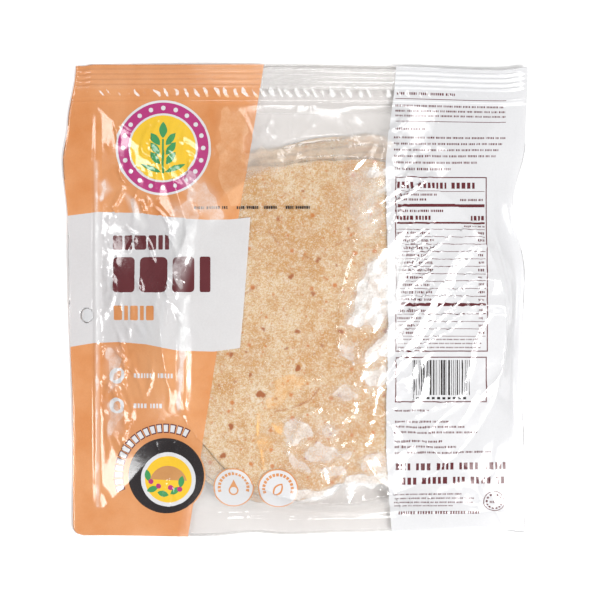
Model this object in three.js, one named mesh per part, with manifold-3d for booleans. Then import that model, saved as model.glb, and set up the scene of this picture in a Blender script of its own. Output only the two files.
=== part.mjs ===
// A clear, printed, zip-topped bag of flatbread that lies on its back, as one closed solid.
// Units are millimetres. +X runs across the bag, +Y towards its zip and +Z up from the table.
// Each height is worked out on the flat sheet, a plain rectangle, and laid() then moves the
// sheet's rim to the bag's wavy outline.
import * as THREE from "three";
import { mergeVertices } from "three/addons/utils/BufferGeometryUtils.js";
import Module from "manifold-3d";

// The flat sheet
const BAG_WIDTH = 306;
const BAG_LENGTH = 311;
const HALF_WIDTH = BAG_WIDTH / 2;
const HALF_LENGTH = BAG_LENGTH / 2;
const MARGIN_THICKNESS = 1;

// Bare margins beyond the breads
const HEADER = 22;
const SIDE_SEAL = 7;
const END_SEAL = 14;
const ZIP_BAND = 26;

// Wavy outline: how far each edge lies inside the sheet, as [place along the edge, inset]
const LEFT_EDGE = [[-80, 6.6], [0, 4], [50, 3.3], [92, 0], [116, 3.3], [155, 8.6]];
const RIGHT_EDGE = [[-150, 2], [-95, 2.6], [-45, 4.6], [17, 2], [64, 9.9], [103, 1.7], [155, 0]];
const TOP_EDGE = [[-145, 1], [-135, 0], [-10, 0], [60, 1.3], [136, 4], [153, 2]];
const BOTTOM_EDGE = [[-125, 0.7], [-59, 0], [-26, 2.6], [-6, 1.3], [34, 3], [126, 5.6], [153, 3.3]];
const CORNER_RADIUS = 7;
const EDGE_FADE = 22;
const ZIP_FADE = 60;

// The breads: a round stack whose lower part has slid towards the zip
const TOP_PILE = { x: 26, y: -19.5, radius: 114, height: 19, dome: 1.2 };
const LOWER_PILE = { x: 28, y: -6, radius: 115, height: 14, dome: 0 };
const FOOT = { x: 27, y: -13, radius: 104 };

// The film between the breads and the seals
const SEAM_LEFT = 2.6;
const SEAM_RIGHT = 8;
const SEAM_WAVE = { height: 1, across: 97, along: 83 };
const BUCKLE = { x: 150, y: 64, height: 4, spread: 14 };
const SLOPE_POWER = 1.3;
const PUCKERS = 11;
const PUCKER_HEIGHT = 1.1;

// The zip: ribs across the bag
const RIBS = { first: 141.5, pitch: 3.4, count: 4, width: 1.5, height: 0.8, crushedEnd: 9 };

// The straight folds beside the header and the end seal: place and half width
const HEADER_FOLD = { x: -131, width: 3 };
const END_FOLD = { y: -142, width: 3 };

// Folds of the film: both ends, half width and height
const FOLDS = [
  { from: [HEADER_FOLD.x, 125], to: [HEADER_FOLD.x, -135], width: HEADER_FOLD.width, height: 1.2 },
  { from: [-60, END_FOLD.y], to: [75, END_FOLD.y], width: END_FOLD.width, height: 1.2 },
  { from: [-86, 99], to: [-72, 53], width: 6, height: 1.6 },
  { from: [-68, 57], to: [-79, 0], width: 6, height: 1.5 },
  { from: [-72, 2], to: [-72, -74], width: 6, height: 1.8 },
  { from: [36, -45], to: [92, 4], width: 7, height: 2.4 },
  { from: [44, 24], to: [76, 50], width: 7, height: 2 },
  { from: [70, -34], to: [118, 52], width: 8, height: 2.6 },
  { from: [33, -16], to: [56, 4], width: 6, height: 1.6 },
  { from: [52, 62], to: [60, 112], width: 6, height: 2 },
  { from: [112, -2], to: [143, -4], width: 6, height: 2 },
  { from: [104, 16], to: [138, 13], width: 6, height: 1.8 },
  { from: [22, -72], to: [58, -122], width: 7, height: 2 },
  { from: [60, -66], to: [100, -108], width: 7, height: 2.2 },
];

// The punched hole in the header
const HOLE = { x: -138.9, y: -9.8, radius: 4.6, depth: 30, sides: 24 };

// The mesh: places of its columns and rows, closest at the folds, the seal and the zip
const COLUMN_COUNT = { header: 4, middle: 47, seal: 2 };
const ROW_COUNT = { end: 4, middle: 43, zip: 2 };
const ZIP_FLANGE = 135;
const COLUMNS = [
  ...spaced(-HALF_WIDTH, HEADER_FOLD.x - HEADER_FOLD.width, COLUMN_COUNT.header),
  HEADER_FOLD.x,
  ...spaced(HEADER_FOLD.x + HEADER_FOLD.width, HALF_WIDTH - SIDE_SEAL, COLUMN_COUNT.middle),
  ...spaced(HALF_WIDTH - SIDE_SEAL / 2, HALF_WIDTH, COLUMN_COUNT.seal),
];
const ROWS = [
  ...spaced(-HALF_LENGTH, END_FOLD.y - END_FOLD.width, ROW_COUNT.end),
  END_FOLD.y,
  ...spaced(END_FOLD.y + END_FOLD.width, HALF_LENGTH - ZIP_BAND, ROW_COUNT.middle),
  ...spaced(ZIP_FLANGE, RIBS.first - RIBS.width, ROW_COUNT.zip),
  ...ribRows(),
  HALF_LENGTH,
];
const UNDERSIDE_RINGS = [0.14, 0.45, 1];

function spaced(from, to, count) {
  return Array.from({ length: count }, (_, i) => THREE.MathUtils.lerp(from, to, i / (count - 1)));
}

function ribRows() {
  const rows = [];
  for (let i = 0; i < RIBS.count; i++) {
    const crest = RIBS.first + i * RIBS.pitch;
    rows.push(crest, crest + RIBS.width);
  }
  return rows;
}

// The value at a place between the [place, value] pairs, with a smooth step from pair to pair
function valueAt(pairs, place) {
  const next = pairs.findIndex((pair) => pair[0] > place);
  if (next === 0) return pairs[0][1];
  if (next < 0) return pairs.at(-1)[1];
  const [from, to] = [pairs[next - 1], pairs[next]];
  const share = THREE.MathUtils.smoothstep(place, from[0], to[0]);
  return THREE.MathUtils.lerp(from[1], to[1], share);
}

// 1 at an edge, falling to 0 over the given width
function fade(distance, width) {
  return Math.max(0, 1 - distance / width);
}

// Inset of the rounded corner beside the lower left end of the left edge
function cornerInset(aboveEnd) {
  const drop = Math.max(0, CORNER_RADIUS - aboveEnd);
  return CORNER_RADIUS - Math.sqrt(CORNER_RADIUS ** 2 - drop ** 2);
}

// Where a point of the flat sheet lies in plan
function laid(x, y) {
  const left = valueAt(LEFT_EDGE, y) + cornerInset(y + HALF_LENGTH);
  const right = valueAt(RIGHT_EDGE, y);
  const top = valueAt(TOP_EDGE, x);
  const bottom = valueAt(BOTTOM_EDGE, x);
  return [
    x + left * fade(x + HALF_WIDTH, EDGE_FADE) - right * fade(HALF_WIDTH - x, EDGE_FADE),
    y + bottom * fade(y + HALF_LENGTH, EDGE_FADE) - top * fade(HALF_LENGTH - y, ZIP_FADE),
  ];
}

// Distance inwards from the nearest seal, 0 on the margins
function insideSeals(x, y) {
  return Math.max(0, Math.min(
    x + HALF_WIDTH - HEADER,
    HALF_WIDTH - SIDE_SEAL - x,
    HALF_LENGTH - ZIP_BAND - y,
    y + HALF_LENGTH - END_SEAL,
  ));
}

// How far the film has come down towards the seals: 0 over the pile, 1 on the margins
function descent(pile, x, y) {
  const outside = Math.hypot(x - pile.x, y - pile.y) - pile.radius;
  if (outside <= 0) return 0;
  return outside / (outside + insideSeals(x, y));
}

// Height of the margins' upper face above the table
function seamHeight(x, y) {
  const level = THREE.MathUtils.mapLinear(x, -HALF_WIDTH, HALF_WIDTH, SEAM_LEFT, SEAM_RIGHT);
  const turns = Math.sin((2 * Math.PI * x) / SEAM_WAVE.across) +
    Math.sin((2 * Math.PI * y) / SEAM_WAVE.along);
  const away = Math.hypot(x - BUCKLE.x, y - BUCKLE.y) / BUCKLE.spread;
  const buckle = BUCKLE.height * Math.exp(-away * away);
  return level + (SEAM_WAVE.height * turns) / 2 + buckle;
}

// The film over one pile: nearly flat on the breads, then down to the margins
function drape(pile, x, y) {
  const seam = seamHeight(x, y);
  const down = descent(pile, x, y);
  const off = Math.hypot(x - pile.x, y - pile.y) / pile.radius;
  const dome = pile.dome * Math.max(0, 1 - off * off);
  return dome + seam + (pile.height - seam) * (1 - down) ** SLOPE_POWER;
}

function foldRelief(x, y) {
  const point = new THREE.Vector3(x, y, 0);
  const nearest = new THREE.Vector3();
  let relief = 0;
  for (const fold of FOLDS) {
    const line = new THREE.Line3(
      new THREE.Vector3(...fold.from, 0),
      new THREE.Vector3(...fold.to, 0),
    );
    const share = line.closestPointToPointParameter(point, true);
    line.at(share, nearest);
    const flank = fade(point.distanceTo(nearest), fold.width);
    const taper = Math.sqrt(Math.max(0, 4 * share * (1 - share)));
    relief = Math.max(relief, fold.height * flank * taper);
  }
  return relief;
}

// The zip's ribs, crushed flat in the side seals
function ribRelief(x, y) {
  const height = RIBS.height * (1 - fade(HALF_WIDTH - Math.abs(x), RIBS.crushedEnd));
  let relief = 0;
  for (let i = 0; i < RIBS.count; i++) {
    const off = Math.abs(y - RIBS.first - i * RIBS.pitch);
    relief = Math.max(relief, height * fade(off, RIBS.width));
  }
  return relief;
}

// Radial puckers in the free film, none on the breads or the margins
function puckerRelief(x, y) {
  const down = descent(TOP_PILE, x, y);
  const turn = Math.atan2(y - TOP_PILE.y, x - TOP_PILE.x);
  return PUCKER_HEIGHT * Math.sin(PUCKERS * turn) * 4 * down * (1 - down);
}

function upperFace(x, y) {
  const film = Math.max(drape(TOP_PILE, x, y), drape(LOWER_PILE, x, y));
  return film + foldRelief(x, y) + ribRelief(x, y) + puckerRelief(x, y);
}

// Flat on the table under the breads, then up to the margins
function underFace(x, y) {
  const down = Math.min(descent(TOP_PILE, x, y), descent(LOWER_PILE, x, y));
  return (seamHeight(x, y) - MARGIN_THICKNESS) * down * down;
}

// The sheet's rim, anticlockwise from its lower left corner
function rimPoints() {
  const lastColumn = COLUMNS.length - 1;
  const lastRow = ROWS.length - 1;
  const rim = [];
  for (let i = 0; i < lastColumn; i++) rim.push([i, 0]);
  for (let j = 0; j < lastRow; j++) rim.push([lastColumn, j]);
  for (let i = lastColumn; i > 0; i--) rim.push([i, lastRow]);
  for (let j = lastRow; j > 0; j--) rim.push([0, j]);
  return rim;
}

// Two triangles between two neighbouring pairs of vertices
function quad(index, a, b, c, d) {
  index.push(a, b, c, a, c, d);
}

function bagGeometry() {
  const points = [];
  const index = [];
  const add = (x, y, height) => {
    points.push(...laid(x, y), height);
    return points.length / 3 - 1;
  };

  const upper = ROWS.map((y) => COLUMNS.map((x) => add(x, y, upperFace(x, y))));
  for (let j = 1; j < ROWS.length; j++) {
    for (let i = 1; i < COLUMNS.length; i++) {
      quad(index, upper[j - 1][i - 1], upper[j - 1][i], upper[j][i], upper[j][i - 1]);
    }
  }

  const rim = rimPoints();
  let outer = rim.map(([i, j]) => upper[j][i]);
  const joinRing = (share) => {
    const inner = rim.map(([i, j]) => {
      const [x, y] = [COLUMNS[i], ROWS[j]];
      const turn = Math.atan2(y - FOOT.y, x - FOOT.x);
      const footX = FOOT.x + FOOT.radius * Math.cos(turn);
      const footY = FOOT.y + FOOT.radius * Math.sin(turn);
      const ringX = THREE.MathUtils.lerp(x, footX, share);
      const ringY = THREE.MathUtils.lerp(y, footY, share);
      return add(ringX, ringY, underFace(ringX, ringY));
    });
    inner.forEach((vertex, i) => {
      const next = (i + 1) % inner.length;
      quad(index, vertex, inner[next], outer[next], outer[i]);
    });
    outer = inner;
  };
  joinRing(0);
  UNDERSIDE_RINGS.forEach(joinRing);

  const centre = add(FOOT.x, FOOT.y, 0);
  outer.forEach((vertex, i) => index.push(centre, outer[(i + 1) % outer.length], vertex));
  const geometry = new THREE.BufferGeometry();
  geometry.setAttribute("position", new THREE.Float32BufferAttribute(points, 3));
  geometry.setIndex(index);
  return geometry;
}

function holeGeometry() {
  const rod = new THREE.CylinderGeometry(HOLE.radius, HOLE.radius, HOLE.depth, HOLE.sides);
  rod.rotateX(Math.PI / 2);
  rod.translate(HOLE.x, HOLE.y, 0);
  return rod;
}

// Cuts one closed geometry out of another
function cut(wasm, body, tool) {
  const [from, by] = [body, tool].map((geometry) => {
    geometry.deleteAttribute("normal");
    geometry.deleteAttribute("uv");
    const merged = mergeVertices(geometry);
    return new wasm.Manifold(new wasm.Mesh({
      numProp: 3,
      vertProperties: merged.attributes.position.array,
      triVerts: new Uint32Array(merged.index.array),
    }));
  });
  const mesh = from.subtract(by).getMesh();
  const geometry = new THREE.BufferGeometry();
  geometry.setAttribute("position", new THREE.BufferAttribute(mesh.vertProperties, 3));
  geometry.setIndex(new THREE.BufferAttribute(mesh.triVerts, 1));
  geometry.computeVertexNormals();
  return geometry;
}

const wasm = await Module();
wasm.setup();

const bag = new THREE.Mesh(
  cut(wasm, bagGeometry(), holeGeometry()),
  new THREE.MeshStandardMaterial({ color: 0xe6d2bd, roughness: 0.25, metalness: 0 }),
);
bag.name = "bag";

const part = new THREE.Group();
part.add(bag);

export default part;
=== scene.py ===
"""A clear, printed, zip-topped bag of ten flatbreads that lies on its back.

Plan places are millimetres on the bag's flat sheet: x across the bag, y towards its zip.
laid() moves the sheet's rim to the bag's wavy outline, and metres() turns places into metres.
"""
from math import ceil, cos, dist, hypot, pi, radians, sin, sqrt

import bmesh
import bpy
import numpy as np
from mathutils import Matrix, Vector
from mathutils.geometry import delaunay_2d_cdt
from mathutils.kdtree import KDTree

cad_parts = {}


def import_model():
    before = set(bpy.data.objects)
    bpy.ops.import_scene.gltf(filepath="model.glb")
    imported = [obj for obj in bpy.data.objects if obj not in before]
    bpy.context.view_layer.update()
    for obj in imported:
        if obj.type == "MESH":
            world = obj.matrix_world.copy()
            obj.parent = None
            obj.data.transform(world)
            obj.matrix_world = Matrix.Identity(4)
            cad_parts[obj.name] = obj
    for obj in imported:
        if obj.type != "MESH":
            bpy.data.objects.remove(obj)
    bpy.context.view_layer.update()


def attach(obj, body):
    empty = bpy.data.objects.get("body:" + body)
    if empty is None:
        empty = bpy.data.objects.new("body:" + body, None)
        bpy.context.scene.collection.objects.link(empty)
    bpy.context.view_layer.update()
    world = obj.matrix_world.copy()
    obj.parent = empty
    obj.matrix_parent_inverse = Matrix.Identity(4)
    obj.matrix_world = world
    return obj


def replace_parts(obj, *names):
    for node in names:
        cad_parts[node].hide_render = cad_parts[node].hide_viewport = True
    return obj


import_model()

MM = 0.001
NODE = "bag"
BODY = "root"

# ---- the bag's form, as in the frame

BAG_WIDTH = 306.0
BAG_LENGTH = 311.0
HALF_WIDTH = BAG_WIDTH / 2
HALF_LENGTH = BAG_LENGTH / 2
MARGIN_THICKNESS = 1.0

HEADER = 22.0
SIDE_SEAL = 7.0
END_SEAL = 14.0
ZIP_BAND = 26.0
ZIP_START = HALF_LENGTH - ZIP_BAND

LEFT_EDGE = [(-80, 6.6), (0, 4), (50, 3.3), (92, 0), (116, 3.3), (155, 8.6)]
RIGHT_EDGE = [(-150, 2), (-95, 2.6), (-45, 4.6), (17, 2), (64, 9.9), (103, 1.7), (155, 0)]
TOP_EDGE = [(-145, 1), (-135, 0), (-10, 0), (60, 1.3), (136, 4), (153, 2)]
BOTTOM_EDGE = [(-125, 0.7), (-59, 0), (-26, 2.6), (-6, 1.3), (34, 3), (126, 5.6), (153, 3.3)]
CORNER_RADIUS = 7.0
EDGE_FADE = 22.0
ZIP_FADE = 60.0

TOP_PILE = {"x": 26.0, "y": -19.5, "radius": 114.0, "height": 19.0, "dome": 1.2}
LOWER_PILE = {"x": 28.0, "y": -6.0, "radius": 115.0, "height": 14.0, "dome": 0.0}

SEAM_LEFT = 2.6
SEAM_RIGHT = 8.0
SEAM_WAVE = {"height": 1.0, "across": 97.0, "along": 83.0}
BUCKLE = {"x": 150.0, "y": 64.0, "height": 4.0, "spread": 14.0}
SLOPE_POWER = 1.3
PUCKERS = 11
PUCKER_HEIGHT = 1.1

RIBS = {"first": 141.5, "pitch": 3.4, "count": 4, "width": 1.5, "height": 0.8, "crushed_end": 9.0}

# Main folds of the film: both ends, half width and height
FOLDS = [
    ((-131, 125), (-131, -135), 3, 1.2),
    ((-60, -142), (75, -142), 3, 1.2),
    ((-86, 99), (-72, 53), 6, 1.6),
    ((-68, 57), (-79, 0), 6, 1.5),
    ((-72, 2), (-72, -74), 6, 1.8),
    ((36, -45), (92, 4), 7, 2.4),
    ((44, 24), (76, 50), 7, 2.0),
    ((70, -34), (118, 52), 8, 2.6),
    ((33, -16), (56, 4), 6, 1.6),
    ((52, 62), (60, 112), 6, 2.0),
    ((112, -2), (143, -4), 6, 2.0),
    ((104, 16), (138, 13), 6, 1.8),
    ((22, -72), (58, -122), 7, 2.0),
    ((60, -66), (100, -108), 7, 2.2),
]

HOLE = {"x": -138.9, "y": -9.8, "radius": 4.6}


def value_at(pairs, place):
    """The value at a place between (place, value) pairs, with a smooth step from pair to pair."""
    knots = np.array(pairs, dtype=float)
    after = np.clip(np.searchsorted(knots[:, 0], place, side="right"), 1, len(knots) - 1)
    low, high = knots[after - 1], knots[after]
    share = np.clip((place - low[..., 0]) / (high[..., 0] - low[..., 0]), 0, 1)
    share = share * share * (3 - 2 * share)
    return low[..., 1] + (high[..., 1] - low[..., 1]) * share


def fade(distance, width):
    """1 at an edge, falling to 0 over the given width."""
    return np.clip(1 - distance / width, 0, None)


def laid(x, y):
    """Where points of the flat sheet lie in plan."""
    drop = np.clip(CORNER_RADIUS - (y + HALF_LENGTH), 0, CORNER_RADIUS)
    corner = CORNER_RADIUS - np.sqrt(CORNER_RADIUS ** 2 - drop ** 2)
    left = value_at(LEFT_EDGE, y) + corner
    right = value_at(RIGHT_EDGE, y)
    top = value_at(TOP_EDGE, x)
    bottom = value_at(BOTTOM_EDGE, x)
    across = x + left * fade(x + HALF_WIDTH, EDGE_FADE) - right * fade(HALF_WIDTH - x, EDGE_FADE)
    along = y + bottom * fade(y + HALF_LENGTH, EDGE_FADE) - top * fade(HALF_LENGTH - y, ZIP_FADE)
    return across, along


def inside_seals(x, y):
    """Distance inwards from the nearest seal, 0 on the margins."""
    nearest = np.minimum.reduce([
        x + HALF_WIDTH - HEADER,
        HALF_WIDTH - SIDE_SEAL - x,
        ZIP_START - y,
        y + HALF_LENGTH - END_SEAL,
    ])
    return np.clip(nearest, 0, None)


def descent(pile, x, y):
    """How far the film has come down towards the seals: 0 over the pile, 1 on the margins."""
    outside = np.clip(np.hypot(x - pile["x"], y - pile["y"]) - pile["radius"], 0, None)
    return outside / np.maximum(outside + inside_seals(x, y), 1e-9)


def seam_height(x, y):
    """Height of the margins' upper face above the table."""
    level = SEAM_LEFT + (SEAM_RIGHT - SEAM_LEFT) * (x + HALF_WIDTH) / BAG_WIDTH
    turns = np.sin(2 * np.pi * x / SEAM_WAVE["across"]) + np.sin(2 * np.pi * y / SEAM_WAVE["along"])
    away = np.hypot(x - BUCKLE["x"], y - BUCKLE["y"]) / BUCKLE["spread"]
    return level + SEAM_WAVE["height"] * turns / 2 + BUCKLE["height"] * np.exp(-away * away)


def drape(pile, x, y):
    """The film over one pile: nearly flat on the breads, then down to the margins."""
    seam = seam_height(x, y)
    off = np.hypot(x - pile["x"], y - pile["y"]) / pile["radius"]
    dome = pile["dome"] * np.clip(1 - off * off, 0, None)
    return dome + seam + (pile["height"] - seam) * (1 - descent(pile, x, y)) ** SLOPE_POWER


def pucker_relief(x, y):
    """Radial puckers in the free film, none on the breads or the margins."""
    down = descent(TOP_PILE, x, y)
    turn = np.arctan2(y - TOP_PILE["y"], x - TOP_PILE["x"])
    return PUCKER_HEIGHT * np.sin(PUCKERS * turn) * 4 * down * (1 - down)


def rib_relief(x, y):
    """The zip's ribs, crushed flat in the side seals."""
    height = RIBS["height"] * (1 - fade(HALF_WIDTH - np.abs(x), RIBS["crushed_end"]))
    relief = np.zeros_like(x)
    for i in range(RIBS["count"]):
        off = np.abs(y - RIBS["first"] - i * RIBS["pitch"])
        relief = np.maximum(relief, height * fade(off, RIBS["width"]))
    return relief


def under_face(x, y):
    """The bag's underside: flat on the table under the breads, then up to the margins."""
    down = np.minimum(descent(TOP_PILE, x, y), descent(LOWER_PILE, x, y))
    return (seam_height(x, y) - MARGIN_THICKNESS) * down * down


# ---- the film's folds and crinkles

CREST_LIMIT = 22.2
FILM_SHIFT = 1.3
SLOPE_STEP = 0.3
SLOPE_LIMIT = 0.3
RIM_WIDTH = 0.8
ZIP_RISE = 3.0
FREE_WIDTH = 4.0
SEAL_CALM = 0.75
LOWER_CREASES = {"height": 0.35, "rise": 3.0}
SEAL_GAP = 0.4
PINCH = (MARGIN_THICKNESS - SEAL_GAP) / 2

# Fields of small creases: box x and y, how many, their length, half width and height ranges,
# their usual direction in degrees and how far they stray from it
CREASE_FIELDS = [
    ((-128, -64), (0, 116), 60, (6, 26), (1.6, 4.5), (0.3, 1.0), 100, 50),
    ((-128, -62), (-138, 0), 34, (8, 34), (2, 5), (0.2, 0.7), 95, 35),
    ((-60, 60), (90, 128), 26, (8, 26), (2, 5), (0.2, 0.6), 85, 40),
    ((-60, 34), (-110, 84), 26, (6, 22), (1.6, 4), (0.12, 0.4), 60, 90),
    ((34, 76), (-60, 118), 44, (10, 46), (2, 6), (0.35, 1.3), 48, 34),
    ((72, 142), (-128, 118), 40, (10, 50), (2, 6), (0.2, 0.6), 52, 40),
    ((6, 72), (-138, -50), 50, (7, 30), (1.6, 5), (0.22, 0.85), 40, 80),
    ((-131, -112), (-112, 20), 34, (6, 22), (1.6, 4), (0.35, 1.1), 92, 30),
    ((-110, 140), (-146, -128), 44, (6, 16), (1.2, 3), (0.2, 0.6), 90, 30),
    ((-150, -133), (-150, 150), 26, (6, 16), (1.2, 3), (0.1, 0.3), 20, 40),
    ((64, 112), (-26, 44), 44, (16, 46), (0.9, 1.8), (0.2, 0.55), 32, 9),
]
CREASE_SEED = 11
LOOSE = {"start": 16.0, "width": 28.0, "slant": 0.8, "bend": -50.0, "least": 0.10, "calm": 0.8,
         "calm_from": 58.0, "height": 1.25, "length": 15.0, "layers": 4, "seed": 4}
FACET_SWAY = 0.3
CREASE_BEND = 0.12

# Broad tents of film with one long flank and one short one: both ends, half width, height,
# bend and the short flank's share
TENTS = [
    ((30, -36), (42, 38), 10, 2.2, 0.06, 0.3),
    ((42, -44), (58, 50), 11, 2.6, 0.03, 0.25),
    ((60, -28), (76, 40), 9, 1.8, 0.03, 0.3),
    ((-5, -112), (9, -70), 9, 1.2, 0.07, 0.35),
]
STEEP_SIDE = (0.35, 1.0)

CRIMP = {"middle": 137.0, "half": 4.0, "pitch": 6.1, "height": 0.45, "centre": -12.0, "spread": 88.0,
         "least": 0.12, "uneven": 9.0, "seed": 2, "stray": 0.9, "sway": 0.35, "sway_length": 23.0,
         "slant": 0.5}
TAPE_LINES = [(131.0, 1.1, 0.4), (134.2, 0.8, 0.25)]


def ridge(x, y, start, end, width, height, bend=0.0, steep=1.0):
    """A fold along a line, with straight flanks, one of them steeper, and tapered ends."""
    along = np.array(end, dtype=float) - np.array(start, dtype=float)
    length = hypot(*along)
    along /= length
    share = ((x - start[0]) * along[0] + (y - start[1]) * along[1]) / length
    side = (y - start[1]) * along[0] - (x - start[0]) * along[1]
    arch = np.clip(4 * share * (1 - share), 0, None)
    side = side - bend * length * arch
    flank = np.where(side > 0, width * steep, width)
    return height * fade(np.abs(side), flank) * np.sqrt(arch)


def drawn_creases():
    """The small creases of every field, drawn once so that all sheets share them."""
    rng = np.random.default_rng(CREASE_SEED)
    drawn = []
    for box_x, box_y, count, lengths, widths, heights, usual, stray in CREASE_FIELDS:
        for _ in range(count):
            middle = np.array([rng.uniform(*box_x), rng.uniform(*box_y)])
            turn = radians(usual + rng.uniform(-1, 1) * stray)
            length = rng.uniform(*lengths)
            half = np.array([cos(turn), sin(turn)]) * length / 2
            width = rng.uniform(*widths)
            height = rng.uniform(*heights)
            bend = rng.uniform(-1, 1) * CREASE_BEND
            drawn.append((middle - half, middle + half, width, height, bend, rng.uniform(*STEEP_SIDE)))
    return drawn


CREASES = drawn_creases()


def crinkles(x, y):
    """The small creases' height."""
    relief = np.zeros_like(x)
    for start, end, width, height, bend, steep in CREASES:
        reach = hypot(*(end - start)) * (0.5 + abs(bend)) + width
        middle = (start + end) / 2
        near = (np.abs(x - middle[0]) < reach) & (np.abs(y - middle[1]) < reach)
        if near.any():
            relief[near] += ridge(x[near], y[near], start, end, width, height, bend, steep)
    return relief


def crimps(x, y):
    """The row of slanted crimps below the zip: 0 between them, 1 on the deepest."""
    off = y - CRIMP["middle"]
    window = np.clip(1 - (off / CRIMP["half"]) ** 2, 0, None)
    spread = np.exp(-((x - CRIMP["centre"]) / CRIMP["spread"]) ** 2)
    strength = CRIMP["least"] + (1 - CRIMP["least"]) * spread
    uneven = rolling(x, y, np.random.default_rng(CRIMP["seed"]), CRIMP["uneven"])
    turns = x / CRIMP["pitch"] + CRIMP["sway"] * np.sin(x / CRIMP["sway_length"])
    phase = 2 * np.pi * turns + CRIMP["stray"] * uneven
    return strength * window * np.clip(np.sin(phase + CRIMP["slant"] * off), 0, None)


def zip_relief(x, y):
    """Crimps and welded lines of the tape below the zip."""
    relief = CRIMP["height"] * crimps(x, y)
    for middle, width, height in TAPE_LINES:
        relief = relief + height * fade(np.abs(y - middle), width)
    return relief


def smooth_film(x, y):
    """The upper film without its folds and creases."""
    film = np.maximum(drape(TOP_PILE, x, y), drape(LOWER_PILE, x, y))
    return film + pucker_relief(x, y)


def fold_relief(x, y):
    """The main folds' height."""
    relief = np.zeros_like(x)
    for start, end, width, height in FOLDS:
        relief = np.maximum(relief, ridge(x, y, start, end, width, height))
    return relief


def rolling(x, y, rng, length, count=9):
    """A smooth random field between about -1 and 1, with waves near the given length."""
    field = np.zeros_like(x)
    for _ in range(count):
        turn = rng.uniform(0, 2 * pi)
        wave = length * rng.uniform(0.7, 1.5)
        phase = rng.uniform(0, 2 * pi)
        field += np.sin(2 * np.pi * (x * cos(turn) + y * sin(turn)) / wave + phase)
    return field / sqrt(count)


def faceted(x, y, rng, length, count):
    """A random field of flat facets between sharp creases, between 0 and 1."""
    field = np.zeros_like(x)
    for _ in range(count):
        turn = rng.uniform(0, pi)
        wave = length * rng.uniform(0.7, 1.6)
        across = x * cos(turn) + y * sin(turn)
        along = y * cos(turn) - x * sin(turn)
        sway = FACET_SWAY * np.sin(2 * np.pi * along / (3.3 * wave) + rng.uniform(0, 6.3))
        field += np.abs((across / wave + rng.uniform(0, 1) + sway) % 1 * 2 - 1)
    return field / count


def smooth_step(value):
    """0 below 0, 1 above 1 and smooth between."""
    share = np.clip(value, 0, 1)
    return share * share * (3 - 2 * share)


def loose_share(x, y):
    """How loosely the film lies: least on the left, most right of the window's middle."""
    start = LOOSE["start"] + LOOSE["slant"] * np.clip(y - LOOSE["bend"], None, 0)
    share = LOOSE["least"] + (1 - LOOSE["least"]) * smooth_step((x - start) / LOOSE["width"])
    return share * (1 - LOOSE["calm"] * smooth_step((x - LOOSE["calm_from"]) / LOOSE["width"]))


def loose_relief(x, y):
    """The film's facets where it lies loosely, and its broad tents."""
    facets = faceted(x, y, np.random.default_rng(LOOSE["seed"]), LOOSE["length"], LOOSE["layers"])
    relief = LOOSE["height"] * loose_share(x, y) * facets
    for start, end, width, height, bend, steep in TENTS:
        relief = np.maximum(relief, ridge(x, y, start, end, width, height, bend, steep))
    return relief


def zip_share(y):
    """1 in the zip band, 0 below it."""
    return np.clip((y - ZIP_START) / ZIP_RISE, 0, 1)


def sealed_share(x, y):
    """1 where the two films are welded together, 0 where they are apart."""
    down = descent(TOP_PILE, x, y)
    return down ** 6 * (1 - zip_share(y))


def rim_share(x, y):
    """1 on the bag's rim and the hole's edge, where both films meet, falling to 0 beside them."""
    rim = np.minimum(HALF_WIDTH - np.abs(x), HALF_LENGTH - np.abs(y))
    hole = np.abs(np.hypot(x - HOLE["x"], y - HOLE["y"]) - HOLE["radius"])
    return fade(np.minimum(rim, hole), RIM_WIDTH)


def joined_at_rim(x, y, height):
    """A film's height, drawn to the middle between both films on the rim and at the hole."""
    middle = seam_height(x, y) - MARGIN_THICKNESS / 2
    rim = rim_share(x, y)
    return height * (1 - rim) + middle * rim


def upper_film(x, y):
    """Height of the upper film."""
    seal = sealed_share(x, y)
    height = smooth_film(x, y) - PINCH * seal
    room = CREST_LIMIT - height
    free = (1 - SEAL_CALM * seal) * (1 - zip_share(y))
    relief = fold_relief(x, y) + (crinkles(x, y) + loose_relief(x, y)) * free
    height += room * np.tanh(relief / room) + rib_relief(x, y) + zip_relief(x, y)
    return joined_at_rim(x, y, height)


def lower_film(x, y):
    """Height of the lower film."""
    seal = sealed_share(x, y)
    height = under_face(x, y) + PINCH * seal
    lift = np.clip(descent(TOP_PILE, x, y) * LOWER_CREASES["rise"], 0, 1)
    height += LOWER_CREASES["height"] * crinkles(x, y) * lift * (1 - zip_share(y)) * (1 - seal)
    return joined_at_rim(x, y, height)


def metres(x, y, height):
    """An array of points in metres from places on the sheet and heights."""
    across, along = laid(x, y)
    return np.stack([across, along, height], axis=-1) * MM


def upper_points(x, y):
    """Points of the upper film, drawn a little towards each fold as gathered film is."""
    height = upper_film(x, y)
    free = (1 - rim_share(x, y)) * np.clip(inside_seals(x, y) / FREE_WIDTH, 0, 1)
    across, along = laid(x, y)
    for place, step_x, step_y in ((across, SLOPE_STEP, 0), (along, 0, SLOPE_STEP)):
        slope = (upper_film(x + step_x, y + step_y) - height) / SLOPE_STEP
        place += FILM_SHIFT * np.clip(slope, -SLOPE_LIMIT, SLOPE_LIMIT) * free
    return np.stack([across, along, height], axis=-1) * MM


# ---- the print

CLEAR, ORANGE, WHITE, MAROON, YELLOW, GREEN, ROSE, DARK, TAN, LABEL = range(10)

# Ticks that stand for a line of words, as shares of the line's height
WORD_SHARE = 0.72
TICKS_PER_WORD = (3, 9)
TICK_WIDTH = (0.2, 0.46)
TICK_GAP = 0.2
WORD_GAP = 0.4
EDGE_INSET = 1e-4

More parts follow.
